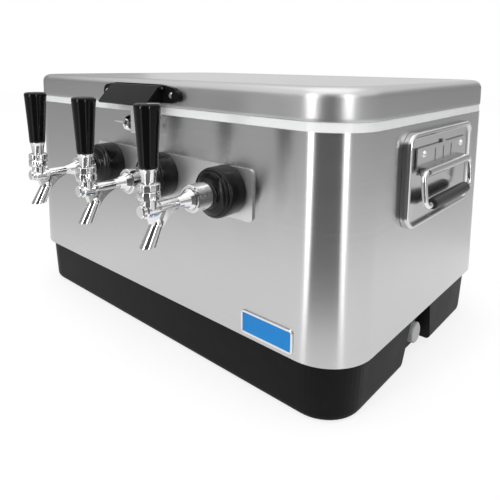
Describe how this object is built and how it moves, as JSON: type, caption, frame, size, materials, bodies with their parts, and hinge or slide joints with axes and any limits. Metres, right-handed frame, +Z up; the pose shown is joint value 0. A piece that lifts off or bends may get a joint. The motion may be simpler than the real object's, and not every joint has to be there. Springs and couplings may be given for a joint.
{
  "type": "jockey box beer cooler",
  "caption": "Insulated stainless chest on a black base, with lever taps on its front, a hinged lid with a latch, end handles, a drain and a cold plate inside.",
  "frame": {"origin": "centre of the base's footprint, on the surface it stands on", "axes": "+X along the length towards the drain's end, +Y towards the hinges, +Z up; the taps are on -Y"},
  "size_m": [0.6924, 0.5778, 0.364],
  "materials": {
    "brushed_stainless": "fine horizontal brush marks, satin",
    "black_base": "moulded black plastic, fine grain",
    "foam": "rigid foam",
    "white_liner": "smooth white plastic",
    "blue_badge": "plain blue enamel",
    "polished_steel": "polished",
    "hinge_steel": "satin",
    "black_latch": "glass-filled black plastic",
    "chrome": "bright chrome plate",
    "mirror_pan": "mirror-polished sheet",
    "bracket_steel": "satin pressing",
    "black_grip": "black sleeve",
    "satin_plate": "satin",
    "black_flange": "satin black moulding",
    "brass": "machined",
    "black_knob": "high gloss black",
    "cast_aluminium": "as cast",
    "clear_line": "translucent hose",
    "grey_drain": "light grey moulding",
    "drain_rubber": "soft washer"
  },
  "bodies": {
    "cabinet": {"base_tub": "black_base", "steel_jacket": "brushed_stainless", "foam_insulation": "foam", "inner_liner": "white_liner", "badge": "blue_badge", "body_screws": "polished_steel", "hinge_body_leaves": "hinge_steel", "hinge_pins": "polished_steel", "strike_bracket": "polished_steel", "right_handle_pan": "mirror_pan", "right_handle_bracket": "bracket_steel", "left_handle_pan": "mirror_pan", "left_handle_bracket": "bracket_steel", "front_plate": "satin_plate", "shank_flanges": "black_flange", "shanks": "chrome", "coupling_nuts": "chrome", "backing_nuts": "brass", "left_tap_body": "chrome", "left_tap_bonnet": "chrome", "middle_tap_body": "chrome", "middle_tap_bonnet": "chrome", "right_tap_body": "chrome", "right_tap_bonnet": "chrome", "rear_plate": "satin_plate", "rear_inlets": "chrome", "cold_plate": "cast_aluminium", "plate_fittings": "brass", "beer_lines": "clear_line", "drain_pipe": "grey_drain", "drain_nut": "grey_drain"},
    "lid": {"lid_shell": "brushed_stainless", "lid_foam": "foam", "lid_liner": "white_liner", "lid_screws": "polished_steel", "hinge_lid_leaves": "hinge_steel", "latch_base": "black_latch", "latch_pin": "polished_steel"},
    "latch_flap": {"latch_flap": "black_latch", "latch_hasp": "polished_steel"},
    "strike_bolt": {"strike_bolt": "chrome"},
    "right_bail": {"right_bail": "chrome", "right_bail_grip": "black_grip"},
    "left_bail": {"left_bail": "chrome", "left_bail_grip": "black_grip"},
    "drain_seal": {"drain_seal": "drain_rubber"},
    "drain_cap": {"drain_cap": "grey_drain"},
    "left_lever": {"left_tap_lever": "chrome", "left_tap_ferrule": "chrome", "left_tap_knob": "black_knob"},
    "left_plunger": {"left_tap_plunger": "brass"},
    "middle_lever": {"middle_tap_lever": "chrome", "middle_tap_ferrule": "chrome", "middle_tap_knob": "black_knob"},
    "middle_plunger": {"middle_tap_plunger": "brass"},
    "right_lever": {"right_tap_lever": "chrome", "right_tap_ferrule": "chrome", "right_tap_knob": "black_knob"},
    "right_plunger": {"right_tap_plunger": "brass"}
  },
  "joints": [
    {"name": "lid_hinge", "type": "hinge", "parent": "cabinet", "child": "lid", "pos_m": [0, 0.2183, 0.329], "axis": [-1, 0, 0], "range_deg": [0, 105]},
    {"name": "latch_flap_pivot", "type": "hinge", "parent": "lid", "child": "latch_flap", "pos_m": [-0.002, -0.2218, 0.354], "axis": [-1, 0, 0], "range_deg": [0, 70]},
    {"name": "bolt_slide", "type": "slide", "parent": "cabinet", "child": "strike_bolt", "axis": [-1, 0, 0], "range_m": [0, 0.03]},
    {"name": "right_bail_pivot", "type": "hinge", "parent": "cabinet", "child": "right_bail", "pos_m": [0.335, 0, 0.264], "axis": [0, -1, 0], "range_deg": [0, 90]},
    {"name": "left_bail_pivot", "type": "hinge", "parent": "cabinet", "child": "left_bail", "pos_m": [-0.335, 0, 0.264], "axis": [0, 1, 0], "range_deg": [0, 90]},
    {"name": "drain_seal_travel", "type": "slide", "parent": "cabinet", "child": "drain_seal", "axis": [1, 0, 0], "range_m": [0, 0.0061]},
    {"name": "drain_cap_turn", "type": "hinge", "parent": "drain_seal", "child": "drain_cap", "pos_m": [0.3, 0, 0.03], "axis": [1, 0, 0], "range_deg": [0, 720]},
    {"name": "left_lever_pull", "type": "hinge", "parent": "cabinet", "child": "left_lever", "pos_m": [-0.0663, -0.3265, 0.253], "axis": [1, 0, 0], "range_deg": [0, 28]},
    {"name": "left_plunger_travel", "type": "slide", "parent": "cabinet", "child": "left_plunger", "axis": [0, 1, 0], "range_m": [0, 0.0053]},
    {"name": "middle_lever_pull", "type": "hinge", "parent": "cabinet", "child": "middle_lever", "pos_m": [0.048, -0.3265, 0.253], "axis": [1, 0, 0], "range_deg": [0, 28]},
    {"name": "middle_plunger_travel", "type": "slide", "parent": "cabinet", "child": "middle_plunger", "axis": [0, 1, 0], "range_m": [0, 0.0053]},
    {"name": "right_lever_pull", "type": "hinge", "parent": "cabinet", "child": "right_lever", "pos_m": [0.1623, -0.3265, 0.253], "axis": [1, 0, 0], "range_deg": [0, 28]},
    {"name": "right_plunger_travel", "type": "slide", "parent": "cabinet", "child": "right_plunger", "axis": [0, 1, 0], "range_m": [0, 0.0053]}
  ],
  "couplings": [
    {"joint": "drain_seal_travel", "follows": "drain_cap_turn", "m_per_rad": 0.0004775},
    {"joint": "left_plunger_travel", "follows": "left_lever_pull", "m_per_rad": 0.010567},
    {"joint": "middle_plunger_travel", "follows": "middle_lever_pull", "m_per_rad": 0.010567},
    {"joint": "right_plunger_travel", "follows": "right_lever_pull", "m_per_rad": 0.010567}
  ]
}
